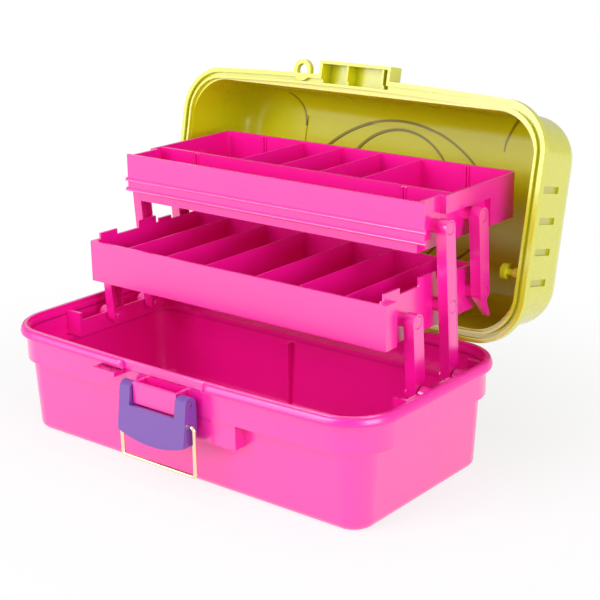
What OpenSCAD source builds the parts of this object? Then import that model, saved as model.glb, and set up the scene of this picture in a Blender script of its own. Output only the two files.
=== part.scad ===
// Art supply box with two cantilever trays, shown open.
// Millimetres, +Z up, origin at the middle of the tub's underside, front towards -Y.

/* [Tub] */
// Inside length of the tub at its rim
tub_len = 340; // [330:1:352]
// Inside depth of the tub at the middle of its rim
tub_dep = 177; // [175:1:181]
// How far the long sides bulge out at their middle
side_bow = 5; // [3:0.5:7]
// Radius of the rim's inner corners
corner_r = 33; // [28:1:38]
// Height of the rim above the table
rim_h = 86; // [84:1:92]
// Wall thickness of the tub and the lid
wall = 2.5; // [2:0.1:3]
// How far the lip stands out from the wall
lip_out = 2.5; // [2:0.1:3]
// Height of the lip
lip_h = 6.5; // [5.5:0.1:7.5]
// Height of the wide upper band, from its step up to the rim
band_h = 27; // [24:1:30]
// How far the band's face stands out from the rim's inner edge
band_out = 0.8; // [0.5:0.1:1.1]
// Inset of the lower body from the band at the ends
body_inset_x = 7.5; // [6:0.5:9]
// Inset of the lower body from the band at the middle of the front and back
body_inset_y = 9.5; // [9:0.5:10]
// Draft of the lower body from its step down to the foot
body_draft = 3; // [1:0.5:4]
// Radius of the foot edge
foot_r = 6; // [4:0.5:8]

/* [Lid] */
// Height of the lid above its rim, without the raised panels
lid_h = 78.5; // [77:0.5:84]
// Radius of the lid's top edge
lid_r = 20; // [14:1:22]
// How far the lid's wall leans in from its rim to its top
lid_draft = 2.5; // [1.5:0.5:4]
// Angle from shut to fully open
lid_open = 102; // [96:1:106]
// Gap between the rims of the shut box
rim_gap = 0.3; // [0.2:0.1:0.5]
// Height of each raised step on the lid's top
panel_rise = 1.2; // [0.8:0.1:1.6]
// Radius of the hinge knuckles
knuckle_r = 3.4; // [3:0.1:3.5]
// Radius of the hinge pins
hinge_pin_r = 1.5; // [1.2:0.1:1.8]

/* [Trays] */
// Room beside the trays at each end of the tub for the arms and their pads
side_room = 28; // [27:0.5:30]
// Depth of a tray from front to back
tray_dep = 123; // [118:1:124]
// Thickness of the trays' walls and floors
tray_wall = 2; // [1.6:0.1:2.4]
// Height of the lower tray's front
lower_tray_h = 32.5; // [29:0.5:32.5]
// Height of the upper tray
upper_tray_h = 37; // [34:0.5:37]
// Thickness of a cross divider
divider_t = 1.6; // [1.2:0.1:2]

/* [Arms] */
// Distance between the two pivots that a short lower arm joins
lower_link = 53.5; // [52:0.5:54]
// Distance between the two pivots that an upper arm joins
upper_link = 58; // [57.5:0.5:60]
// Spacing of the pivots along a tray
pivot_pitch = 43; // [42:0.5:44]
// Lean of the raised arms towards the front
arm_lean = 4.5; // [2:0.5:6]
// Width of an arm seen from the side
arm_w = 12; // [11:0.5:13]
// Thickness of an arm
arm_t = 8.5; // [7.5:0.5:8.5]
// Radius of a pivot pin
pivot_r = 3; // [2.5:0.1:3.2]

/* [Latch and handle] */
// Overall width of the latch lever
lever_w = 64; // [60:1:66]
// Width of the catch housing between the lever's arms
housing_w = 42; // [38:1:43]
// Diameter of the bail's wire
wire_d = 3; // [2.4:0.1:3.4]
// Distance from the bail's pivot to its cross wire
bail_drop = 37; // [32:1:40]
// Distance from the handle's pivot to the middle of its grip
handle_reach = 46; // [40:1:50]
// Distance between the middles of the handle's legs
handle_w = 116; // [104:1:124]
// Radius of the handle's bar
handle_r = 4.5; // [3.5:0.5:5]

/* [Hidden] */
$fn = 96;
arc_fn = 1440;
eps = 0.05;
run_gap = 0.05;
seat_gap = 0.3;
pink = "hotpink";
lime = "yellowgreen";

// Outlines: half length, half depth at the middle, radius of the long side, corner radius
half_x = tub_len / 2;
half_y = tub_dep / 2;
long_r = (half_x * half_x + side_bow * side_bow) / (2 * side_bow);
step_z = rim_h - band_h;
body_x = half_x + band_out - body_inset_x;
body_y = half_y + band_out - body_inset_y;
body_r = corner_r - 13;
jog_z = rim_h - 4;
lid_x = half_x - 2;
lid_y = half_y - 5;
lid_corner_r = corner_r + 3;
tray_len = tub_len - 2 * side_room;

// Hinge axis
hinge_y = half_y + wall + 0.75;
hinge_z = rim_h - knuckle_r - 0.25;
hinge_x = 95;
knuckle_len = 15;
hinge_len = 40;
knuckle_gap = 0.5;
knuckle_room = 0.4;
strap_in = 1;
lid_z = rim_h + rim_gap;
lid_top = rim_h + lid_h;

// Pivots: the lower tray's row, the upper tray's row and the tub's row
arm_x = tray_len / 2 + 1;
end_x = tray_len / 2 - 5;
tray_low_z = 110;
tray_row_y = 3;
tray_row_z = tray_low_z + 16.3;
lean_y = sin(arm_lean);
lean_z = cos(arm_lean);
function tray_pivot(i) = [tray_row_y + i * pivot_pitch, tray_row_z];
function base_pivot(i) = tray_pivot(i) + lower_link * [lean_y, -lean_z];
function top_pivot(i) = tray_pivot(i) + upper_link * [-lean_y, lean_z];
lower_y = tray_row_y - 24.4;
upper_y = top_pivot(1)[0] - 18.6;
upper_z = top_pivot(1)[1] - 17.1;

// Pads inside the tub that carry the arms
pad_x = arm_x + arm_t + 0.9;
pad_y0 = base_pivot(0)[0] - 35;
pad_y1 = base_pivot(1)[0] + 18;
pad_top = jog_z;
pad_h = 20;
pad_drop = 6.5;

// Pins
head_r = 4.3;
head_t = 1.2;
head_sink = 1.5;
boss_gap = 0.5;
pin_seat = 5.5;

// Trays
foot_h = 8;
foot_in = 2.6;
shoulder_h = 13;
shoulder_y = 27;
rear_block_y = 86;
rear_block_z = 3;
tray_corner_r = 6;
bin_corner_r = 5;
lower_dividers = [24, 64, 104.5];
upper_dividers = [19.5, 58.5];
long_divider_y = 37.7;
divider_drop = 1;
rib = 1.2;
rib_pair = 2.6;
end_rib_x = 100;

// Latch
housing_y = -half_y - wall - 9.5;
housing_z = rim_h - 26;
housing_h = 16;
latch_y = housing_y + 3;
latch_z = housing_z + 10;
latch_pin_r = 1.6;
pivot_in = 5;
foot_out = 9.5;
cheek_drop = 33;
catch_x = 34;
notch_x = catch_x + 4;
bail_y = latch_y - 1.5;
bail_z = latch_z - 16;
bail_x = lever_w / 2 + 3.4;
bail_bend = bail_x - lever_w / 2 - 0.4;

// Lid fittings, in the shut position
catch_y = -half_y - wall - 13.6;
catch_h = 15;
catch_rib = 1.6;
eye_x = -51.5;
eye_y = -half_y - wall - lip_out - 2;
eye_r = 5;
eye_out_r = 8.5;
peg_back = 54.5;
peg_y = half_y - peg_back;
peg_z = lid_z + 6.2;
peg_r = 2.5;
peg_head_r = 6;
peg_head = 4;
peg_gap = 0.4;
plateau_x = 100;
barrel_r = 113;
barrel_y = 64;
barrel_x = 84;
disc_r = 57;
panel_in = 1.2;
groove_pitch = 23.2;
groove_mid = 6.9;
groove_w = 5;
groove_z0 = 18.5;
groove_z1 = 46;
groove_depth = 1.6;
rim_groove = 3;
lip_in = 1.5;
lid_lip = 2;
groove_out = 1.6;
handle_z = lid_top + 3 * panel_rise + handle_r + 0.5;
handle_pin_r = 2;
lug_t = 3.5;
lug_r = 5.5;
leg_len = 9;
grip_bend = 12;

// ---- Shared shapes ----

// Where a corner arc's centre lies, from the middle of the outline
function corner_y(hx, hy, big, r) = hy - big + sqrt(pow(big - r, 2) - pow(hx - r, 2));

// Rounded rectangle with bowed long sides, moved out by grow
module bowed(hx, hy, grow = 0, fine = arc_fn) {
    x = hx + grow;
    y = hy + grow;
    big = long_r + grow;
    r = corner_r + grow + hx - half_x;
    cy = corner_y(x, y, big, r);
    touch_x = (x - r) * big / (big - r);
    intersection() {
        translate([0, y - big]) circle(big, $fn = fine);
        translate([0, big - y]) circle(big, $fn = fine);
        square([2 * touch_x, 4 * y], center = true);
    }
    square([2 * x, 2 * cy], center = true);
    for (sx = [-1, 1], sy = [-1, 1]) translate([sx * (x - r), sy * cy]) circle(r);
}

// Rounded rectangle with straight sides
module round_rect(hx, hy, r) {
    square([2 * hx, 2 * (hy - r)], center = true);
    square([2 * (hx - r), 2 * hy], center = true);
    for (sx = [-1, 1], sy = [-1, 1]) translate([sx * (hx - r), sy * (hy - r)]) circle(r);
}

// Wall profile of a moulded shell standing on its rounded foot, outer face at x = 0 at its rim
module shell_profile(draft, r, height) {
    reach = 3;
    translate([-draft - r - reach, 0]) square([reach, wall]);
    translate([-draft - r, r]) intersection() {
        difference() {
            circle(r);
            circle(r - wall);
        }
        translate([0, -r]) square(r);
    }
    polygon([[-draft, r], [0, height], [-wall, height], [-draft - wall, r]]);
}

// Sweeps a wall profile (x outwards, y upwards) round a rounded rectangle
module swept(hx, hy, r) {
    for (turn = [0, 180]) rotate([0, 0, turn]) {
        translate([hx, hy - r, 0]) rotate([90, 0, 0]) linear_extrude(2 * (hy - r)) children();
        translate([r - hx, hy, 0]) rotate([90, 0, 90]) linear_extrude(2 * (hx - r)) children();
    }
    for (sx = [0, 1], sy = [0, 1]) mirror([sx, 0, 0]) mirror([0, sy, 0])
        translate([hx - r, hy - r, 0]) rotate_extrude(angle = 90) translate([r, 0]) children();
}

// A slab between two heights
module slab(z0, z1) {
    translate([0, 0, z0]) linear_extrude(z1 - z0) children();
}

// A box from its low and high corners
module span(low, high) {
    translate(low) cube(high - low);
}

// Both ends of the box
module both_ends() {
    children();
    mirror([1, 0, 0]) children();
}

// A cylinder along X
module rod_x(x0, x1, p, r) {
    translate([x0, p[0], p[1]]) rotate([0, 90, 0]) cylinder(r = r, h = x1 - x0);
}

// Plan of a tray: square front corners, rounded back corners
module tray_plan(hx, y0, y1, r) {
    translate([-hx, y0]) square([2 * hx, y1 - y0 - r]);
    translate([r - hx, y0]) square([2 * (hx - r), y1 - y0]);
    for (s = [-1, 1]) translate([s * (hx - r), y1 - r]) circle(r);
}

// Turns the lid from shut to open
module opened() {
    translate([0, hinge_y, hinge_z]) rotate([-lid_open, 0, 0])
        translate([0, -hinge_y, -hinge_z]) children();
}

// A run of numbers on both sides of zero
function both_signs(list) = concat([for (v = list) -v], list);

// ---- Tub ----

// The lip leans outwards from the rim's thin top edge to its underside
module lip() {
    edge_h = 1;
    lip_fn = 480;
    difference() {
        hull() {
            slab(rim_h - lip_h, rim_h - lip_h + edge_h)
                bowed(half_x, half_y, wall + lip_out, lip_fn, $fn = 48);
            slab(rim_h - edge_h, rim_h) bowed(half_x, half_y, wall, lip_fn, $fn = 48);
        }
        slab(jog_z, rim_h + 1) bowed(half_x, half_y);
        slab(rim_h - lip_h - 1, jog_z + 1) bowed(half_x, half_y, band_out - wall);
        span([-notch_x, -half_y - 20, rim_h - lip_h - 1], [notch_x, -half_y - wall, rim_h + 1]);
    }
}

// The front's middle stretch, flush with the band
module front_panel() {
    panel_x = 64;
    panel_z = 41;
    intersection() {
        slab(panel_z, step_z + wall) difference() {
            bowed(half_x, half_y, band_out);
            square([2 * half_x, 2 * (body_y - body_draft - wall / 2)], center = true);
        }
        span([-panel_x, -half_y - 20, 0], [panel_x, -half_y / 2, rim_h]);
    }
}

// The socket between the latch's arms, open at the top and against the band
module latch_housing() {
    back_y = -half_y - band_out;
    color(pink) difference() {
        span([-housing_w / 2, housing_y, housing_z], [housing_w / 2, back_y, housing_z + housing_h]);
        span([wall - housing_w / 2, housing_y + wall, housing_z + wall],
            [housing_w / 2 - wall, back_y + 1, housing_z + housing_h + 1]);
        both_ends() rod_x(housing_w / 2 - wall - 1, housing_w / 2 + 1, [latch_y, latch_z],
            latch_pin_r + run_gap);
    }
}

module padlock_ledge() {
    ledge_w = 22;
    ledge_t = 3.5;
    hole_r = 2.4;
    hole_pitch = 12;
    ledge_z = rim_h - lip_h - ledge_t - 1.5;
    difference() {
        translate([eye_x, 0, 0]) span([-ledge_w / 2, eye_y - 4, ledge_z],
            [ledge_w / 2, wall / 2 - half_y, ledge_z + ledge_t]);
        for (s = [-1, 1]) translate([eye_x + s * hole_pitch / 2, eye_y, ledge_z - 1])
            cylinder(r = hole_r, h = ledge_t + 2);
    }
}

// An open bracket: a low inner plate with two bosses between a front and a back plate
module arm_bracket() {
    foot_z = pad_top - pad_h;
    color(pink) difference() {
        union() {
            intersection() {
                for (y = [pad_y0, pad_y1 - wall])
                    span([pad_x, y, foot_z], [half_x, y + wall, pad_top - eps]);
                slab(foot_z, pad_top) bowed(half_x, half_y, band_out - wall - eps);
            }
            span([pad_x, pad_y0 + eps, foot_z], [pad_x + wall, pad_y1 - eps, pad_top - pad_drop]);
            for (i = [0, 1]) rod_x(pad_x + eps, pad_x + wall + pin_seat, base_pivot(i), arm_w / 2);
        }
        for (i = [0, 1])
            rod_x(pad_x - 1, pad_x + wall + pin_seat + 1, base_pivot(i), pivot_r + run_gap);
    }
}

module arm_bracket_right() { arm_bracket(); }
module arm_bracket_left() { mirror([1, 0, 0]) arm_bracket(); }

module hinge_ears() {
    ear = (hinge_len - knuckle_len) / 2 - knuckle_gap;
    for (s = [-1, 1]) translate([hinge_x + s * ((knuckle_len + ear) / 2 + knuckle_gap), 0, 0]) {
        rod_x(-ear / 2, ear / 2, [hinge_y, hinge_z], knuckle_r);
        span([-ear / 2, half_y - side_bow / 2, hinge_z - knuckle_r],
            [ear / 2, hinge_y, hinge_z + knuckle_r - 1]);
    }
}

// The room that the lid's knuckle turns in
module knuckle_space() {
    reach = knuckle_len / 2 + knuckle_gap;
    translate([hinge_x, 0, 0]) {
        rod_x(-reach, reach, [hinge_y, hinge_z], knuckle_r + knuckle_room);
        span([-reach, hinge_y - strap_in - 2 * knuckle_room, hinge_z - knuckle_r - knuckle_room],
            [reach, hinge_y + 10, rim_h + 1]);
    }
}

module rear_rib() {
    rib_x = -20;
    span([rib_x - 1, body_y - wall - body_draft - 3, wall], [rib_x + 1, body_y - wall - 1, step_z - 3]);
}

module base_tub() {
    color(pink) difference() {
        union() {
            swept(body_x, body_y, body_r) shell_profile(body_draft, foot_r, step_z + wall);
            slab(0, wall) square(2 * [body_x - body_draft - foot_r - 2, body_y - body_draft - foot_r - 2],
                center = true);
            slab(step_z, step_z + wall) difference() {
                bowed(half_x, half_y, band_out);
                round_rect(body_x - wall / 2, body_y - wall / 2, body_r - wall / 2);
            }
            slab(step_z, jog_z) difference() {
                bowed(half_x, half_y, band_out);
                bowed(half_x, half_y, band_out - wall);
            }
            lip();
            front_panel();
            padlock_ledge();
            rear_rib();
            both_ends() hinge_ears();
        }
        both_ends() {
            knuckle_space();
            rod_x(hinge_x - hinge_len, hinge_x + hinge_len, [hinge_y, hinge_z], hinge_pin_r + run_gap);
        }
    }
}

module hinge_pins() {
    color("silver") both_ends()
        rod_x(hinge_x - hinge_len / 2, hinge_x + hinge_len / 2, [hinge_y, hinge_z], hinge_pin_r);
}

// ---- Arms ----

// A channel arm through a row of pivots, lying along +Z from the first one
module arm(lengths) {
    pocket_end = 7.5;
    web = 2.5;
    rim = 2;
    total = lengths[len(lengths) - 1];
    difference() {
        union() {
            span([arm_x, -arm_w / 2, 0], [arm_x + arm_t, arm_w / 2, total]);
            rod_x(arm_x, arm_x + arm_t, [0, 0], arm_w / 2);
            rod_x(arm_x, arm_x + arm_t, [0, total], arm_w / 2);
            children();
        }
        for (i = [1 : len(lengths) - 1])
            span([arm_x - 1, rim - arm_w / 2, lengths[i - 1] + pocket_end],
                [arm_x + arm_t - web, arm_w / 2 - rim, lengths[i] - pocket_end]);
        for (z = lengths) {
            rod_x(arm_x - 1, arm_x + arm_t + 1, [0, z], pivot_r + run_gap);
            rod_x(arm_x + arm_t - head_sink, arm_x + arm_t + 1, [0, z], head_r + seat_gap);
        }
    }
}

module placed_arm(p) {
    color(pink) translate([0, p[0], p[1]]) rotate([arm_lean, 0, 0]) children();
}

module front_arm() {
    placed_arm(base_pivot(0)) arm([0, lower_link]);
}

module main_arm() {
    placed_arm(base_pivot(1)) arm([0, lower_link, lower_link + upper_link]);
}

module rear_arm() {
    tail = 15;
    tail_drop = 22;
    tail_w = 3;
    tail_t = arm_t / 2;
    root = arm_w / 2 - 1.5;
    placed_arm(tray_pivot(2)) arm([0, upper_link])
        rotate([-arm_lean, 0, 0]) translate([arm_x, 0, 0]) rotate([90, 0, 90]) linear_extrude(tail_t)
            polygon([[root, root / 2], [tail, -tail_drop], [tail - tail_w, -tail_drop], [-root, -root]]);
}

module front_arm_right() { front_arm(); }
module front_arm_left() { mirror([1, 0, 0]) front_arm(); }
module main_arm_right() { main_arm(); }
module main_arm_left() { mirror([1, 0, 0]) main_arm(); }
module rear_arm_right() { rear_arm(); }
module rear_arm_left() { mirror([1, 0, 0]) rear_arm(); }

// A snap pin: head sunk in the arm's outer face, shaft reaching x0
module snap_pin(p, x0) {
    face = arm_x + arm_t - head_sink;
    rod_x(x0, face + eps, p, pivot_r);
    rod_x(face + eps, face + eps + head_t, p, head_r);
}

module base_pivot_pins() {
    inner_head = 1.6;
    color(pink) both_ends() for (i = [0, 1]) {
        rod_x(arm_x - seat_gap, pad_x + wall + pin_seat, base_pivot(i), pivot_r);
        rod_x(arm_x - seat_gap - inner_head, arm_x - seat_gap, base_pivot(i), head_r);
    }
}

module lower_tray_pins() {
    color(pink) both_ends() for (i = [0 : 2]) snap_pin(tray_pivot(i), end_x - tray_wall);
}

module upper_tray_pins() {
    color(pink) both_ends() for (i = [1, 2]) snap_pin(top_pivot(i), end_x - tray_wall);
}

// ---- Trays ----

// Pairs of small ribs that hold a divider's end
module slot_ribs(x, y, z0, z1) {
    for (s = [-1, 1]) span([x + s * rib_pair / 2 - rib / 2, y - rib, z0],
        [x + s * rib_pair / 2 + rib / 2, y + rib, z1]);
}

module tray_bores(points) {
    for (p = points) rod_x(end_x - 2 * tray_wall, arm_x, p, pivot_r + run_gap);
}

// Bosses that stand off the end walls and carry the arms
module tray_bosses(points) {
    boss_r = 5;
    both_ends() for (p = points) rod_x(end_x - 1, arm_x - boss_gap, p, boss_r);
}

module lower_tray() {
    y1 = lower_y + tray_dep;
    z1 = tray_low_z + lower_tray_h;
    // Raised stretches of the end walls: start, end, height above the front
    lugs = [[5, 23, 6], [47, 67, 7.5], [71, 85, 4.5]];
    end_rise = 1.5;
    gusset = 13;
    color(pink) difference() {
        union() {
            difference() {
                slab(tray_low_z, z1) tray_plan(end_x, lower_y, y1, tray_corner_r);
                slab(tray_low_z + tray_wall, z1 + 1)
                    tray_plan(end_x - tray_wall, lower_y + tray_wall, y1 - tray_wall,
                        tray_corner_r - tray_wall);
            }
            span([-tray_len / 2, lower_y, tray_low_z], [tray_len / 2, lower_y + tray_wall, z1]);
            for (d = both_signs(lower_dividers), y = [lower_y + tray_wall, y1 - tray_wall])
                slot_ribs(d, y, tray_low_z + eps, z1 - divider_drop);
            both_ends() {
                span([end_x - eps, lower_y, tray_low_z], [tray_len / 2, lower_y + gusset, z1]);
                span([end_x - tray_wall, lower_y + 2, z1 - 1],
                    [end_x, y1 - tray_corner_r, z1 + end_rise]);
                for (l = lugs) span([end_x - tray_wall, lower_y + l[0], z1 - 1],
                    [end_x, lower_y + l[1], z1 + l[2]]);
            }
            tray_bosses([for (i = [0 : 2]) tray_pivot(i)]);
        }
        both_ends() {
            tray_bores([for (i = [0 : 2]) tray_pivot(i)]);
            span([end_x, lower_y + tray_wall, tray_low_z - 1],
                [tray_len / 2 - tray_wall, lower_y + gusset + 1, z1 - tray_wall]);
        }
    }
}

module lower_tray_dividers() {
    side_gap = 0.15;
    y0 = lower_y + tray_wall + side_gap;
    y1 = lower_y + tray_dep - tray_wall - side_gap;
    z0 = tray_low_z + tray_wall;
    z1 = tray_low_z + lower_tray_h - divider_drop;
    color(pink) for (d = both_signs(lower_dividers))
        span([d - divider_t / 2 + 0.1, y0, z0], [d + divider_t / 2 - 0.1, y1, z1]);
}

module upper_tray() {
    y1 = upper_y + tray_dep;
    z1 = upper_z + upper_tray_h;
    foot_z = upper_z + foot_h;
    ledge = 2;
    color(pink) difference() {
        union() {
            slab(foot_z, z1) tray_plan(end_x, upper_y, y1, tray_corner_r);
            slab(upper_z, foot_z + eps)
                tray_plan(end_x - foot_in, upper_y + foot_in, y1 - foot_in, tray_corner_r - foot_in);
            span([-tray_len / 2, upper_y, foot_z], [tray_len / 2, upper_y + tray_wall, z1]);
            span([-tray_len / 2, upper_y - ledge / 2, foot_z + 7.5],
                [tray_len / 2, upper_y + eps, foot_z + 8.7]);
            tray_bosses([top_pivot(1), top_pivot(2)]);
            slab(z1 - shoulder_h, z1) tray_plan(tray_len / 2, upper_y + shoulder_y, y1, bin_corner_r);
            slab(upper_z + rear_block_z, z1)
                tray_plan(tray_len / 2, upper_y + rear_block_y, y1, bin_corner_r);
        }
        difference() {
            union() {
                slab(foot_z + tray_wall, z1 + 1) tray_plan(end_x - tray_wall, upper_y + tray_wall,
                    y1 - tray_wall, tray_corner_r - tray_wall);
                slab(upper_z + tray_wall, foot_z + 2 * tray_wall)
                    tray_plan(end_x - foot_in - tray_wall, upper_y + foot_in + tray_wall,
                        y1 - foot_in - tray_wall, 1);
                slab(z1 - shoulder_h + tray_wall, z1 + 1)
                    tray_plan(tray_len / 2 - tray_wall, upper_y + shoulder_y + tray_wall,
                        y1 - tray_wall, bin_corner_r - tray_wall);
                slab(upper_z + rear_block_z + tray_wall, z1 + 1)
                    tray_plan(tray_len / 2 - tray_wall, upper_y + rear_block_y + tray_wall,
                        y1 - tray_wall, bin_corner_r - tray_wall);
            }
            span([-tray_len, upper_y + long_divider_y - tray_wall / 2, 0],
                [tray_len, upper_y + long_divider_y + tray_wall / 2, z1 - eps]);
            for (d = both_signs(upper_dividers))
                for (y = [upper_y + long_divider_y + tray_wall / 2, y1 - tray_wall])
                    slot_ribs(d, y, upper_z, z1 - divider_drop);
            for (s = [-1, 1]) for (y = [upper_y + long_divider_y - tray_wall / 2, y1 - tray_wall])
                slot_ribs(s * end_rib_x, y, upper_z, z1 - divider_drop);
        }
        both_ends() tray_bores([top_pivot(1), top_pivot(2)]);
    }
}

module upper_tray_dividers() {
    side_gap = 0.15;
    y0 = upper_y + long_divider_y + tray_wall / 2 + side_gap;
    y1 = upper_y + tray_dep - tray_wall - side_gap;
    z0 = upper_z + foot_h + tray_wall;
    color(pink) for (d = both_signs(upper_dividers)) {
        span([d - divider_t / 2 + 0.1, y0, z0],
            [d + divider_t / 2 - 0.1, y1, upper_z + upper_tray_h - divider_drop]);
        span([d - divider_t / 2 + 0.1, y0, upper_z + tray_wall],
            [d + divider_t / 2 - 0.1, y1 - foot_in, z0 + eps]);
    }
}

// ---- Lid, drawn shut ----

// Outline of a raised step on the lid's top: plateau, barrel panel, round panel
module step_shape(i, inset) {
    flat_y = lid_y - lid_draft - lid_r;
    arc_y = barrel_y - inset;
    arc_r = barrel_r - inset;
    if (i == 1) square(2 * [plateau_x - inset, flat_y - 1 - inset], center = true);
    if (i == 2) intersection() {
        translate([0, arc_y - arc_r]) circle(arc_r);
        translate([0, arc_r - arc_y]) circle(arc_r);
        square(2 * [barrel_x - inset, flat_y - 1 - inset], center = true);
    }
    if (i == 3) circle(disc_r - inset);
}

// The lid's top plate, stepped outside and inside
module lid_plate() {
    slab(lid_top - wall, lid_top)
        square(2 * [lid_x - lid_draft - lid_r - 1, lid_y - lid_draft - lid_r - 1], center = true);
    for (i = [1 : 3]) slab(lid_top - wall, lid_top + i * panel_rise) step_shape(i, 0);
}

module plate_recess() {
    for (i = [1 : 3]) slab(lid_top - wall - 1, lid_top - wall + i * panel_rise) step_shape(i, panel_in);
}

module catch_box() {
    span([-catch_x, catch_y, lid_z], [catch_x, -half_y - wall, lid_z + catch_h]);
    span([-catch_x, catch_y + 1, lid_z + lip_h - 1], [catch_x, -lid_y + lid_draft, lid_z + catch_h]);
}

module catch_hollow() {
    rib_x = [-8, catch_x - wall - 5.5];
    difference() {
        span([wall - catch_x, catch_y + wall, lid_z - 1],
            [catch_x - wall, -half_y + lip_in, lid_z + catch_h - wall]);
        for (x = rib_x) span([x, catch_y, lid_z + 1], [x + catch_rib, -lid_y, lid_z + catch_h]);
    }
}

module padlock_eye() {
    eye_t = 4;
    translate([eye_x, 0, 0]) difference() {
        union() {
            slab(lid_z, lid_z + eye_t) translate([0, eye_y]) circle(eye_out_r);
            span([-eye_out_r, eye_y, lid_z], [eye_out_r, -half_y - wall, lid_z + eye_t]);
        }
        slab(lid_z - 1, lid_z + eye_t + 1) translate([0, eye_y]) circle(eye_r);
    }
}

// Two knuckles whose straps stand against the outer edge of the lid's rim
module lid_knuckles() {
    x0 = hinge_x - knuckle_len / 2;
    x1 = hinge_x + knuckle_len / 2;
    lip_r = long_r + wall + lip_out;
    lip_y = half_y + wall + lip_out - lip_r + sqrt(lip_r * lip_r - x0 * x0) + eps;
    color(lime) opened() both_ends() difference() {
        union() {
            rod_x(x0, x1, [hinge_y, hinge_z], knuckle_r);
            span([x0, hinge_y - strap_in, hinge_z], [x1, hinge_y + knuckle_r, lid_z + lip_h - 1]);
        }
        rod_x(x0 - 1, x1 + 1, [hinge_y, hinge_z], hinge_pin_r + run_gap);
        span([x0 - 1, half_y - 1, lid_z - eps], [x1 + 1, lip_y, lid_z + lip_h]);
    }
}

// Two lugs each side, the inner one on the round panel and the outer one on the barrel panel
module handle_lugs() {
    lugs = [[handle_w / 2 - leg_len / 2 - seat_gap - lug_t, 3],
        [handle_w / 2 + leg_len / 2 + seat_gap, 2]];
    color(lime) opened() both_ends() for (lug = lugs) difference() {
        union() {
            rod_x(lug[0], lug[0] + lug_t, [0, handle_z], lug_r);
            span([lug[0], -lug_r, lid_top], [lug[0] + lug_t, lug_r, handle_z]);
        }
        rod_x(lug[0] - 1, lug[0] + lug_t + 1, [0, handle_z], handle_pin_r + run_gap);
        span([lug[0] - 1, -2 * lug_r, lid_top - 1],
            [lug[0] + lug_t + 1, 2 * lug_r, lid_top + lug[1] * panel_rise]);
    }
}

module side_grooves() {
    lean = atan(lid_draft / (lid_h - lid_r));
    translate([lid_x, 0, lid_z]) rotate([0, -lean, 0]) for (i = [-1.5 : 1 : 1.5])
        translate([-groove_depth, groove_mid + i * groove_pitch - groove_w / 2, groove_z0])
            cube([2 * groove_depth, groove_w, groove_z1 - groove_z0]);
}

// The lid's rim: a thin inner lip, a groove and a broad outer edge
module lid_rim() {
    difference() {
        slab(lid_z, lid_z + lip_h) bowed(half_x, half_y, wall + lip_out);
        slab(lid_z + rim_groove, lid_z + lip_h + 1)
            round_rect(lid_x - wall / 2, lid_y - wall / 2, lid_corner_r - wall / 2);
        slab(lid_z - 1, lid_z + rim_groove + eps) bowed(half_x, half_y, -lip_in - lid_lip);
        slab(lid_z - 1, lid_z + rim_groove) difference() {
            bowed(half_x, half_y, groove_out);
            bowed(half_x, half_y, -lip_in);
        }
    }
}

module lid_shut() {
    difference() {
        union() {
            lid_rim();
            translate([0, 0, lid_top]) mirror([0, 0, 1]) swept(lid_x, lid_y, lid_corner_r)
                shell_profile(lid_draft, lid_r, lid_top - lid_z - rim_groove);
            lid_plate();
            catch_box();
            padlock_eye();
            both_ends() {
                rod_x(lid_x - wall - 4, lid_x - 1, [peg_y, peg_z], peg_r + 1.5);
            }
        }
        plate_recess();
        catch_hollow();
        both_ends() {
            side_grooves();
            rod_x(lid_x - wall - 5, lid_x - 2, [peg_y, peg_z], peg_r + run_gap);
        }
    }
}

module lid_shell() {
    color(lime) opened() lid_shut();
}

module lid_pegs() {
    x0 = arm_x + arm_t + peg_gap;
    color(lime) opened() both_ends() {
        rod_x(x0, x0 + peg_head, [peg_y, peg_z], peg_head_r);
        rod_x(x0 + peg_head, lid_x - 2, [peg_y, peg_z], peg_r);
    }
}

// ---- Carry handle, drawn flat with its pivot at the origin ----

module handle_bar() {
    leg_x = handle_w / 2;
    difference() {
        union() {
            both_ends() {
                rod_x(leg_x - leg_len / 2, leg_x + leg_len / 2, [0, 0], handle_r);
                translate([leg_x, 0, 0]) rotate([-90, 0, 0])
                    cylinder(r = handle_r, h = handle_reach - grip_bend);
                translate([leg_x - grip_bend, handle_reach - grip_bend, 0])
                    rotate_extrude(angle = 90) translate([grip_bend, 0]) circle(handle_r);
            }
            rod_x(grip_bend - leg_x, leg_x - grip_bend, [handle_reach, 0], handle_r);
        }
        both_ends() rod_x(leg_x - leg_len, leg_x + leg_len, [0, 0], handle_pin_r + run_gap);
    }
}

// It hangs straight down behind the open lid
module carry_handle() {
    color(lime) opened() translate([0, 0, handle_z]) rotate([lid_open - 90, 0, 0]) handle_bar();
}

module handle_pins() {
    reach = leg_len / 2 + seat_gap + lug_t;
    color("silver") opened() both_ends()
        rod_x(handle_w / 2 - reach, handle_w / 2 + reach, [0, handle_z], handle_pin_r);
}

// ---- Latch ----

module latch_pivot_pins() {
    color("silver") both_ends()
        rod_x(housing_w / 2 - wall, lever_w / 2 - 1, [latch_y, latch_z], latch_pin_r);
}

// Side view of a lever cheek, from its pivot: the front plate slants outwards to its foot
module cheek_side() {
    polygon([[-pivot_in, 3], [-foot_out, -cheek_drop], [3, 2 - cheek_drop], [5, 11 - cheek_drop],
        [5.5, -8], [5, 0]]);
    circle(pivot_in + 0.2);
}

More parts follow.
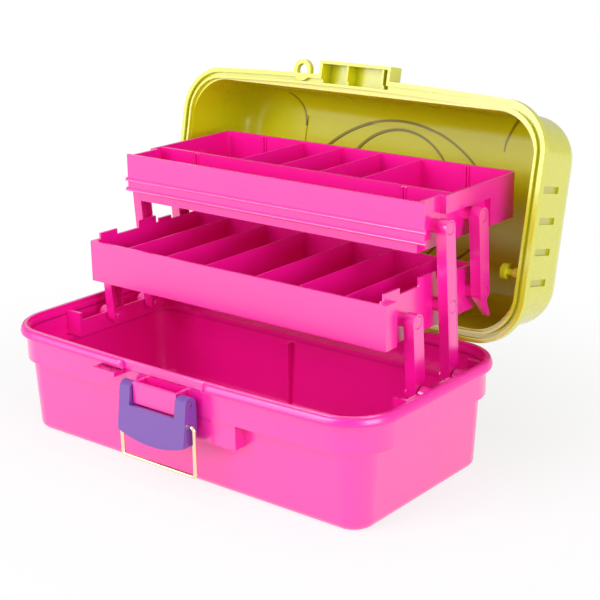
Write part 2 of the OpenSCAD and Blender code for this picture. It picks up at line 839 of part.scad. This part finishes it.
module latch_lever() {
    plate_t = 2.5;
    arm_in = housing_w / 2 + 0.8;
    plate_top = housing_z - latch_z - 0.8;
    slant = (foot_out - pivot_in) * (3 - plate_top) / (3 + cheek_drop);
    plate_end = cheek_drop + 4;
    sole_r = 90;
    sole_reach = 60;
    color("mediumpurple") difference() {
        union() {
            for (s = [-1, 1]) translate([s > 0 ? arm_in : -lever_w / 2, latch_y, latch_z])
                rotate([90, 0, 90]) linear_extrude(lever_w / 2 - arm_in) cheek_side();
            translate([-lever_w / 2, latch_y, latch_z]) rotate([90, 0, 90]) linear_extrude(lever_w)
                polygon([[plate_t - pivot_in - slant, plate_top], [-pivot_in - slant, plate_top],
                    [-foot_out, -cheek_drop], [-foot_out, -plate_end], [plate_t - foot_out, -plate_end],
                    [plate_t - foot_out, -cheek_drop]]);
        }
        translate([0, latch_y - 20, latch_z - plate_end + 1 + sole_r]) rotate([-90, 0, 0]) difference() {
            translate([-lever_w, 0, 0]) cube([2 * lever_w, sole_r + 10, sole_reach]);
            translate([0, 0, -1]) cylinder(r = sole_r, h = sole_reach + 2);
        }
        rod_x(-lever_w, lever_w, [latch_y, latch_z], latch_pin_r + run_gap);
        rod_x(-lever_w, lever_w, [bail_y, bail_z], wire_d / 2 + run_gap);
        both_ends() span([-1, latch_y - 4, bail_z - 4], [arm_in - 1, latch_y + 10, bail_z + 4]);
    }
}

module latch_bail() {
    r = wire_d / 2;
    low = bail_z - bail_drop;
    color("khaki") both_ends() {
        rod_x(lever_w / 2 - 6, bail_x - bail_bend, [bail_y, bail_z], r);
        translate([bail_x - bail_bend, bail_y, bail_z - bail_bend]) rotate([90, 0, 0])
            rotate_extrude(angle = 90) translate([bail_bend, 0]) circle(r);
        translate([bail_x, bail_y, low + bail_bend]) cylinder(r = r, h = bail_drop - 2 * bail_bend);
        translate([bail_x - bail_bend, bail_y, low + bail_bend]) rotate([90, 90, 0])
            rotate_extrude(angle = 90) translate([bail_bend, 0]) circle(r);
        rod_x(-eps, bail_x - bail_bend, [bail_y, low], r);
    }
}

base_tub();
latch_housing();
arm_bracket_left();
arm_bracket_right();
hinge_pins();
base_pivot_pins();
latch_pivot_pins();
front_arm_left();
front_arm_right();
main_arm_left();
main_arm_right();
rear_arm_left();
rear_arm_right();
lower_tray();
lower_tray_dividers();
lower_tray_pins();
upper_tray();
upper_tray_dividers();
upper_tray_pins();
lid_shell();
lid_knuckles();
handle_lugs();
lid_pegs();
carry_handle();
handle_pins();
latch_lever();
latch_bail();
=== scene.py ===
# %% [markdown]
# The object is a moulded art supply box with two trays on folding arms, shown open.
# The solids come packed as a fixed frame, one object for each named part. This file gives
# them finishes, adds what the solids leave out, and sets a camera and soft studio light.

# %% Load the frame
import bpy
import bmesh
import math
from mathutils import Matrix, Vector


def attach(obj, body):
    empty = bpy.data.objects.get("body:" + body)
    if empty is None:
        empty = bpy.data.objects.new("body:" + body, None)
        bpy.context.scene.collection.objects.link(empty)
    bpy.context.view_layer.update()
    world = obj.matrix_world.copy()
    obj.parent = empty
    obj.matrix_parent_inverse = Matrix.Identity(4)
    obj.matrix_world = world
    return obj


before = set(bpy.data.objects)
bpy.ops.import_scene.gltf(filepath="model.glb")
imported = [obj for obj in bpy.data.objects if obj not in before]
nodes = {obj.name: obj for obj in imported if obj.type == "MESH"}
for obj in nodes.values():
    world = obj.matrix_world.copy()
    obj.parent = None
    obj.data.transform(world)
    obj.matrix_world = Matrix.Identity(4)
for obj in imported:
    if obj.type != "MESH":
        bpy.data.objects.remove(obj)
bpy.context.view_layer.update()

# %% [markdown]
# The camera is a plain perspective one. It stands to the right of the box, a little above
# it, and tilts by less than a degree, so it is built from its own axes: back, right and up.

# %% Camera
AZIMUTH, ELEVATION, ROLL = map(math.radians, (38.78, 17.63, -0.76))
EYE = Vector((0.6571, -0.7541, 0.4318))
back = Vector((math.sin(AZIMUTH) * math.cos(ELEVATION),
               -math.cos(AZIMUTH) * math.cos(ELEVATION),
               math.sin(ELEVATION)))
right = Vector((math.cos(AZIMUTH), math.sin(AZIMUTH), 0))
up = back.cross(right)
rolled_right = right * math.cos(ROLL) + up * math.sin(ROLL)
rolled_up = up * math.cos(ROLL) - right * math.sin(ROLL)
camera_data = bpy.data.cameras.new("camera")
camera_data.sensor_width = 36
camera_data.sensor_fit = "AUTO"
camera_data.lens = 36 * 1411.7 / 600
camera = bpy.data.objects.new("camera", camera_data)
camera.matrix_world = Matrix((
    (rolled_right.x, rolled_up.x, back.x, EYE.x),
    (rolled_right.y, rolled_up.y, back.y, EYE.y),
    (rolled_right.z, rolled_up.z, back.z, EYE.z),
    (0, 0, 0, 1)))
bpy.context.scene.collection.objects.link(camera)
bpy.context.scene.camera = camera
print("lens", round(camera_data.lens, 1), "mm")

# %% [markdown]
# Shader maths reads best as plain expressions. A small class wraps a socket, and adding or
# multiplying two of them adds the Math node that does it. Any other node comes from one
# method that takes its type, its settings and what feeds its sockets.

# %% Shader expressions
class Sock:
    def __init__(self, tree, socket):
        self.tree, self.socket = tree, socket

    def math(self, operation, *values):
        return make(self.tree, "ShaderNodeMath", {"operation": operation},
                    dict(enumerate((self,) + values)))

    def __add__(self, other): return self.math("ADD", other)
    def __radd__(self, other): return self.math("ADD", other)
    def __sub__(self, other): return self.math("SUBTRACT", other)
    def __rsub__(self, other): return lift(self.tree, other).math("SUBTRACT", self)
    def __mul__(self, other): return self.math("MULTIPLY", other)
    def __rmul__(self, other): return self.math("MULTIPLY", other)


def make(tree, kind, settings=None, inputs=None, out=0):
    node = tree.nodes.new(kind)
    for name, value in (settings or {}).items():
        setattr(node, name, value)
    for key, value in (inputs or {}).items():
        if isinstance(value, Sock):
            tree.links.new(value.socket, node.inputs[key])
        else:
            node.inputs[key].default_value = value
    return Sock(tree, node.outputs[out]) if node.outputs else node


def lift(tree, value):
    return make(tree, "ShaderNodeMath", {"operation": "ADD"}, {0: value, 1: 0.0})


def blank_material(name):
    material = bpy.data.materials.new(name)
    material.use_nodes = True
    material.node_tree.nodes.clear()
    return material, material.node_tree


def noise(tree, place, scale, detail):
    return make(tree, "ShaderNodeTexNoise", inputs={
        "Vector": place, "Scale": scale, "Detail": detail})


def part_of(tree, place, axis):
    return make(tree, "ShaderNodeSeparateXYZ", inputs={"Vector": place}, out=axis)


def between(tree, value, low, high, soft=0.0005):
    """One between two limits, none outside them, with a narrow soft edge."""
    rise = make(tree, "ShaderNodeMapRange", inputs={
        "Value": value, "From Min": low - soft, "From Max": low + soft})
    fall = make(tree, "ShaderNodeMapRange", inputs={
        "Value": value, "From Min": high - soft, "From Max": high + soft,
        "To Min": 1.0, "To Max": 0.0})
    return rise * fall


def rgba(code):
    """A colour as written in sRGB hex, turned to the linear values that shaders take."""
    parts = [int(code[i:i + 2], 16) / 255 for i in (0, 2, 4)]
    return tuple(p / 12.92 if p <= 0.04045 else ((p + 0.055) / 1.055) ** 2.4 for p in parts) + (1,)


# %% [markdown]
# Steps, recesses and the underside of the lip lie in shade, and that shade is painted into
# the colour as lines of deeper colour. Each function here gives the painted shade where a part
# has such a line. The tub has them under its lip and along its step; the lid has them round
# the stepped panels inside its top and in the four bars of each end, which are found in the
# shut lid's own directions. A face belongs to a shell's hollow side where it looks towards
# the middle of the shell, which its normal and its place tell.

# %% Painted shade lines
HINGE_Y, HINGE_Z, OPEN = 0.09175, 0.08235, math.radians(102)
RIM, STEP, LID_RIM = 0.086, 0.059, 0.0863
LID_MIDDLE, TUB_MIDDLE = (0, 0.1499, 0.1638), (0, 0, 0.05)
LOWER_MIDDLE, UPPER_MIDDLE = (0, 0.0401, 0.13), (0, 0.0828, 0.186)
DISC_RING = (0.0556, 0.0578)
BOW_BACK, BOW_RING, BOW_REACH = 0.049, (0.1116, 0.1138), 0.084
CORNER_X, CORNER_Y_AT, CORNER_RING = 0.13, 0.05, (0.0300, 0.0318)
BAR_LAST, BAR_PITCH, BAR_WIDTH = 0.0417, 0.0116, 0.0025
BAR_SPAN, BAR_HEIGHTS = (-0.031, 0.045), (LID_RIM + 0.0185, LID_RIM + 0.046)
LID_END, PANELS_FROM = 0.163, LID_RIM + 0.066


def polished(tree, place, middle):
    """One on a shell's outer side, none on its hollow side."""
    outward = make(tree, "ShaderNodeVectorMath", {"operation": "SUBTRACT"}, {0: place, 1: middle})
    facing = make(tree, "ShaderNodeTexCoord", out="Normal")
    away = make(tree, "ShaderNodeVectorMath", {"operation": "DOT_PRODUCT"},
                {0: outward, 1: facing}, out="Value")
    return make(tree, "ShaderNodeMapRange", inputs={
        "Value": away, "From Min": -0.002, "From Max": 0.002})


# Painted shade under the tub's lip and along its step.
def tub_painted_shade(tree, place):
    z = part_of(tree, place, "Z")
    return (between(tree, z, RIM - 0.0083, RIM - 0.0066) * 0.75
            + between(tree, z, STEP - 0.0022, STEP) * 0.35)


# Painted shade round the stepped panels inside the lid's top and in the recessed bars of its ends.
def lid_painted_shade(tree, place):
    x = part_of(tree, place, "X").math("ABSOLUTE")
    back_y = part_of(tree, place, "Y") - HINGE_Y
    up_z = part_of(tree, place, "Z") - HINGE_Z
    y = back_y * math.cos(OPEN) - up_z * math.sin(OPEN) + HINGE_Y
    z = back_y * math.sin(OPEN) + up_z * math.cos(OPEN) + HINGE_Z
    bow_y = y.math("ABSOLUTE") + BOW_BACK
    corner_x, corner_y = x - CORNER_X, y + CORNER_Y_AT
    disc, bow, corner = [(u * u + v * v).math("SQRT")
                         for u, v in ((x, y), (x, bow_y), (corner_x, corner_y))]
    rings = (between(tree, disc, *DISC_RING)
             + between(tree, bow, *BOW_RING) * between(tree, x, -0.001, BOW_REACH)
             + between(tree, corner, *CORNER_RING) * between(tree, x, 0.09, CORNER_X)
             * between(tree, y, -0.1, -CORNER_Y_AT))
    bars = (between(tree, (y - BAR_LAST).math("PINGPONG", BAR_PITCH), -0.001, BAR_WIDTH)
            * between(tree, y, *BAR_SPAN) * between(tree, z, *BAR_HEIGHTS)
            * between(tree, x, LID_END, 0.2))
    hollow = 1 - polished(tree, place, LID_MIDDLE)
    return rings * hollow * between(tree, z, PANELS_FROM, 0.2) * 0.8 + bars * 0.3


# %% [markdown]
# Moulded plastic is one colour with a very slight cloudiness, a soft gloss that varies where
# hands and the mould have touched it, and a surface that is never quite flat. The mould is
# polished only where the box is seen from outside, so a shell's hollow side is duller: there
# the clear coat that stands for the polish is left off.

# %% Moulded plastic
def moulded_plastic(name, base, shade, rough, coat, coat_ior=1.9, painted_shade_lines=None, painted_shade_colour="000000",
                    middle=None, inner=0.0, specular=0.5):
    material, tree = blank_material(name)
    place = make(tree, "ShaderNodeTexCoord", out="Object")
    cloud = noise(tree, place, 16.0, 3.0)
    fine = noise(tree, place, 900.0, 2.0)
    wave = noise(tree, place, 40.0, 1.0)
    tint = make(tree, "ShaderNodeMix", {"data_type": "RGBA"},
                {0: cloud * 0.5, 6: rgba(base), 7: rgba(shade)}, out=2)
    # Painted shade: where a part has lines of shade, its colour is mixed towards a darker one
    # there.
    if painted_shade_lines:
        tint = make(tree, "ShaderNodeMix", {"data_type": "RGBA"},
                    {0: painted_shade_lines(tree, place), 6: tint, 7: rgba(painted_shade_colour)}, out=2)
    layer = wave * 0.1 + (coat - 0.05)
    if middle:
        layer = layer * (polished(tree, place, middle) * (1.0 - inner) + inner)
    height = fine * 0.35 + wave
    bump = make(tree, "ShaderNodeBump", inputs={
        "Strength": 0.08, "Distance": 0.0004, "Height": height})
    shader = make(tree, "ShaderNodeBsdfPrincipled", inputs={
        "Base Color": tint, "Roughness": cloud * 0.14 + (rough - 0.07), "Normal": bump,
        "IOR": 1.5, "Specular IOR Level": specular,
        "Coat IOR": coat_ior, "Coat Weight": layer, "Coat Roughness": 0.22})
    make(tree, "ShaderNodeOutputMaterial", inputs={"Surface": shader})
    return material


PINK, PINK_SHADE, LIME, LIME_SHADE = "f50ea0", "ee0a96", "d0cf10", "c8c60c"
pink = moulded_plastic("pink_moulding", PINK, PINK_SHADE, 0.30, 0.95)
lip_pink = moulded_plastic("lip_moulding", PINK, PINK_SHADE, 0.40, 0.35)
dull_pink = moulded_plastic("divider_moulding", PINK, PINK_SHADE, 0.34, 0.1)
# The tub's painted shade lines take the darker colour a80a5a.
tub_pink = moulded_plastic("tub_moulding", PINK, PINK_SHADE, 0.30, 0.95, painted_shade_lines=tub_painted_shade,
                           painted_shade_colour="a80a5a", middle=TUB_MIDDLE)
lower_pink = moulded_plastic("lower_tray_moulding", PINK, PINK_SHADE, 0.30, 0.95,
                             middle=LOWER_MIDDLE)
upper_pink = moulded_plastic("upper_tray_moulding", PINK, PINK_SHADE, 0.30, 0.7,
                             middle=UPPER_MIDDLE)
# The lid's painted shade lines take the darker colour 5c4c04.
lime = moulded_plastic("lime_moulding", LIME, LIME_SHADE, 0.28, 0.95, coat_ior=1.75,
                       painted_shade_lines=lid_painted_shade, painted_shade_colour="5c4c04", middle=LID_MIDDLE, inner=0.08,
                       specular=0.25)
fitting_lime = moulded_plastic("lime_fitting_moulding", LIME, LIME_SHADE, 0.28, 0.95,
                               coat_ior=1.65)
purple = moulded_plastic("purple_moulding", "6e3c9e", "643294", 0.34, 0.5)
print("plastics", pink.name, lime.name, purple.name)

# %% [markdown]
# The bail is drawn brass wire and the hinge pins are plain steel. Both are metals with faint
# scratches along them.

# %% Metals
def drawn_metal(name, base, rough):
    material, tree = blank_material(name)
    place = make(tree, "ShaderNodeTexCoord", out="Object")
    scratch = noise(tree, place, 1400.0, 2.0)
    shader = make(tree, "ShaderNodeBsdfPrincipled", inputs={
        "Base Color": rgba(base), "Metallic": 1.0, "Roughness": scratch * 0.2 + rough})
    make(tree, "ShaderNodeOutputMaterial", inputs={"Surface": shader})
    return material


brass = drawn_metal("brass_wire", "fbe6c0", 0.14)
steel = drawn_metal("steel_pin", "b9b8b4", 0.25)

# %% Finishes for the solids
finish = {"base_tub": tub_pink, "lower_tray": lower_pink, "upper_tray": upper_pink,
          "lower_tray_dividers": dull_pink, "upper_tray_dividers": dull_pink,
          "lid_shell": lime, "lid_knuckles": fitting_lime, "handle_lugs": fitting_lime,
          "lid_pegs": fitting_lime, "carry_handle": fitting_lime,
          "handle_pins": steel, "hinge_pins": steel,
          "latch_pivot_pins": steel, "latch_lever": purple, "latch_bail": brass}
for name, solid in nodes.items():
    material = finish.get(name, pink)
    for slot in solid.material_slots:
        slot.material = material
    print(name, material.name, len(solid.data.polygons))

# %% [markdown]
# A mould is cut with small radii, so no edge of a real box is sharp. The solids' triangles
# are welded and given a narrow bevel, which catches a thin line of light as the real one does.
# Weighted normals then keep a large flat face looking flat beside its small rounded edges.

# %% Soft edges
EDGE_WIDTH, SHARP = 0.0004, math.radians(40)
for name, solid in nodes.items():
    weld = solid.modifiers.new("weld", "WELD")
    weld.merge_threshold = 0.00001
    soften = solid.modifiers.new("soften", "BEVEL")
    soften.width = EDGE_WIDTH
    soften.segments = 2
    soften.limit_method = "ANGLE"
    soften.angle_limit = SHARP
    soften.harden_normals = True
    even = solid.modifiers.new("even", "WEIGHTED_NORMAL")
    even.keep_sharp = True

# %% [markdown]
# The tub's lip is a rounded bead. Its section runs over the rim's outer edge, swells outwards
# and turns in under itself, and it is carried round the rim's outline: two long sides that
# bow out a little, straight ends and round corners. It stops at the catch in the front and
# at the two hinge knuckles in the back, where each end is closed off flat.

# %% Rim outline
HALF_X, HALF_Y, BOW, CORNER = 0.170, 0.0885, 0.005, 0.033
LONG = (HALF_X ** 2 + BOW ** 2) / (2 * BOW)
CORNER_Y = HALF_Y - LONG + math.sqrt((LONG - CORNER) ** 2 - (HALF_X - CORNER) ** 2)
TURN = math.acos((HALF_X - CORNER) / (LONG - CORNER))


def side_arc(x):
    """Place and outward direction on the back's bowed side."""
    slope = math.asin(x / LONG)
    return (x, HALF_Y - LONG + LONG * math.cos(slope)), (math.sin(slope), math.cos(slope))


def corner_arc(angle):
    direction = (math.cos(angle), math.sin(angle))
    return (HALF_X - CORNER + CORNER * direction[0], CORNER_Y + CORNER * direction[1]), direction


def side_run(start, end, steps):
    return [side_arc(start + (end - start) * i / steps) for i in range(steps + 1)]


def corner_run(steps):
    return [corner_arc(TURN * i / steps) for i in range(steps + 1)]


def flip_y(run):
    return [((p[0], -p[1]), (n[0], -n[1])) for p, n in reversed(run)]


def flip_x(run):
    return [((-p[0], p[1]), (-n[0], n[1])) for p, n in reversed(run)]


CATCH_GAP, KNUCKLE_IN, KNUCKLE_OUT = 0.0385, 0.0865, 0.1035
touch = (HALF_X - CORNER) * LONG / (LONG - CORNER)
back_quarter = corner_run(16)[:-1] + list(reversed(side_run(KNUCKLE_OUT, touch, 8)))
front_quarter = flip_y(corner_run(16)[:-1] + list(reversed(side_run(CATCH_GAP, touch, 20))))
right_run = front_quarter + back_quarter
middle_run = list(reversed(side_run(-KNUCKLE_IN, KNUCKLE_IN, 30)))
print("rim stations", len(right_run), len(middle_run), "corner", round(CORNER_Y, 4))

# %% Rim bead
section = [(0.0027, RIM - 0.0002), (0.0034, RIM - 0.0006), (0.0041, RIM - 0.0014),
           (0.0046, RIM - 0.0026), (0.0050, RIM - 0.0040), (0.0052, RIM - 0.0052),
           (0.0050, RIM - 0.0061), (0.0045, RIM - 0.0066), (0.0036, RIM - 0.0067),
           (0.0020, RIM - 0.0063), (0.0018, RIM - 0.0030)]


def as_object(built, name, material):
    data = bpy.data.meshes.new(name)
    built.to_mesh(data)
    built.free()
    data.materials.append(material)
    piece = bpy.data.objects.new(name, data)
    bpy.context.scene.collection.objects.link(piece)
    return piece


def bead(name, run):
    built = bmesh.new()
    rings = [[built.verts.new((p[0] + n[0] * out, p[1] + n[1] * out, z)) for out, z in section]
             for p, n in run]
    count = len(section)
    for first, second in zip(rings, rings[1:]):
        for i in range(count):
            built.faces.new((first[i], second[i], second[(i + 1) % count], first[(i + 1) % count]))
    built.faces.new(rings[0])
    built.faces.new(rings[-1])
    bmesh.ops.recalc_face_normals(built, faces=built.faces)
    for face in built.faces:
        face.smooth = len(face.verts) == 4
    piece = as_object(built, name, lip_pink)
    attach(piece, "base")
    return piece


beads = [bead("rim_bead_right", right_run), bead("rim_bead_left", flip_x(right_run)),
         bead("rim_bead_back", middle_run)]
for piece in beads:
    print(piece.name, len(piece.data.polygons), [round(v * 1000, 1) for v in piece.dimensions])

# %% [markdown]
# Two ridges run along the front of the upper tray, one half way down and one where its foot
# steps in. Each has a long slope on top that catches the light and a short underside. A
# section is drawn once, extruded along the front, and its outer edges are rounded.

# %% Tray ridges
TRAY_FRONT, TRAY_FLOOR, RIDGE_HALF = 0.02285, 0.16702, 0.1435
ridge_section = [(0.0002, 0.0023), (-0.0015, 0.0005), (-0.0015, -0.0006), (0.0002, -0.0011)]


def ridge(name, height):
    built = bmesh.new()
    corners = [built.verts.new((-RIDGE_HALF, TRAY_FRONT + y, TRAY_FLOOR + height + z))
               for y, z in ridge_section]
    end = built.faces.new(corners)
    drawn = bmesh.ops.extrude_face_region(built, geom=[end])["geom"]
    far = [item for item in drawn if isinstance(item, bmesh.types.BMVert)]
    bmesh.ops.translate(built, verts=far, vec=(2 * RIDGE_HALF, 0, 0))
    nose = [edge for edge in built.edges if edge.calc_length() > RIDGE_HALF
            and edge.verts[0].co.y < TRAY_FRONT]
    bmesh.ops.bevel(built, geom=nose, offset=0.0004, offset_type="OFFSET", segments=3,
                    profile=0.5, affect="EDGES", material=-1)
    bmesh.ops.recalc_face_normals(built, faces=built.faces)
    piece = as_object(built, name, pink)
    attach(piece, "upper_tray")
    return piece


ridges = [ridge("tray_ridge_upper", 0.0161), ridge("tray_ridge_lower", 0.0082)]
for piece in ridges:
    print(piece.name, len(piece.data.polygons), [round(v * 1000, 1) for v in piece.dimensions])

# %% [markdown]
# The floor is plain and pale. Seen directly it is white, and the object's shadow stays on it:
# for camera rays most of its brightness is its own, and all of it is from a metre away on.

# %% Floor
floor_mesh = bmesh.new()
bmesh.ops.create_grid(floor_mesh, x_segments=1, y_segments=1, size=6)
bmesh.ops.translate(floor_mesh, verts=floor_mesh.verts, vec=(0, 0, -0.0005))
white, tree = blank_material("floor_white")
floor = as_object(floor_mesh, "floor", white)
place = make(tree, "ShaderNodeTexCoord", out="Object")
reach = make(tree, "ShaderNodeVectorMath", {"operation": "LENGTH"}, {0: place}, out="Value")
fade = make(tree, "ShaderNodeMapRange", {"interpolation_type": "SMOOTHSTEP"},
            {"Value": reach, "From Min": 0.2, "From Max": 0.5, "To Min": 0.78, "To Max": 1.0})
rays = make(tree, "ShaderNodeLightPath", out="Is Camera Ray").socket.node
seen = Sock(tree, rays.outputs["Is Camera Ray"]).math(
    "MAXIMUM", Sock(tree, rays.outputs["Is Glossy Ray"]))
matt = make(tree, "ShaderNodeBsdfDiffuse", inputs={"Color": (0.92, 0.92, 0.92, 1)})
glow = make(tree, "ShaderNodeEmission", inputs={"Color": (1, 1, 1, 1), "Strength": 1.0})
both = make(tree, "ShaderNodeMixShader", inputs={0: seen * fade, 1: matt, 2: glow})
make(tree, "ShaderNodeOutputMaterial", inputs={"Surface": both})
print("floor", [round(v, 1) for v in floor.dimensions], "m")

# %% [markdown]
# A large soft key from the front left, a wide low panel beside it that gives flat faces
# their sheen, a softer side light and a top light.

# %% Light
def soft_box(name, place, target, size, power):
    light = bpy.data.lights.new(name, "AREA")
    light.shape = "RECTANGLE"
    light.size, light.size_y = size
    light.energy = power
    lamp = bpy.data.objects.new(name, light)
    lamp.location = place
    aim = (Vector(target) - Vector(place)).to_track_quat("-Z", "Y")
    lamp.rotation_euler = aim.to_euler()
    bpy.context.scene.collection.objects.link(lamp)


soft_box("key", (-0.5, -1.6, 1.1), (0, 0, 0.1), (1.2, 1.0), 21)
soft_box("low", (-1.1, -1.7, 0.4), (0, 0.1, 0.15), (1.6, 0.9), 12)
soft_box("side", (1.8, -0.5, 0.6), (0, 0, 0.12), (1.0, 1.0), 21)
soft_box("top", (0.0, 0.1, 1.9), (0, 0, 0.1), (1.6, 1.4), 6)

world = bpy.data.worlds.new("studio")
bpy.context.scene.world = world
world.use_nodes = True
tree = world.node_tree
tree.nodes.clear()
rays = make(tree, "ShaderNodeLightPath", out="Is Camera Ray").socket.node
seen = Sock(tree, rays.outputs["Is Camera Ray"]).math(
    "MAXIMUM", Sock(tree, rays.outputs["Is Glossy Ray"]) * 0.4).math(
    "MAXIMUM", Sock(tree, rays.outputs["Is Transmission Ray"]))
fill = make(tree, "ShaderNodeBackground", inputs={"Color": (1, 1, 1, 1), "Strength": 0.38})
bright = make(tree, "ShaderNodeBackground", inputs={"Color": (1, 1, 1, 1), "Strength": 1.0})
mix = make(tree, "ShaderNodeMixShader", inputs={0: seen, 1: fill, 2: bright})
make(tree, "ShaderNodeOutputWorld", inputs={"Surface": mix})
bpy.context.scene.view_settings.view_transform = "Standard"
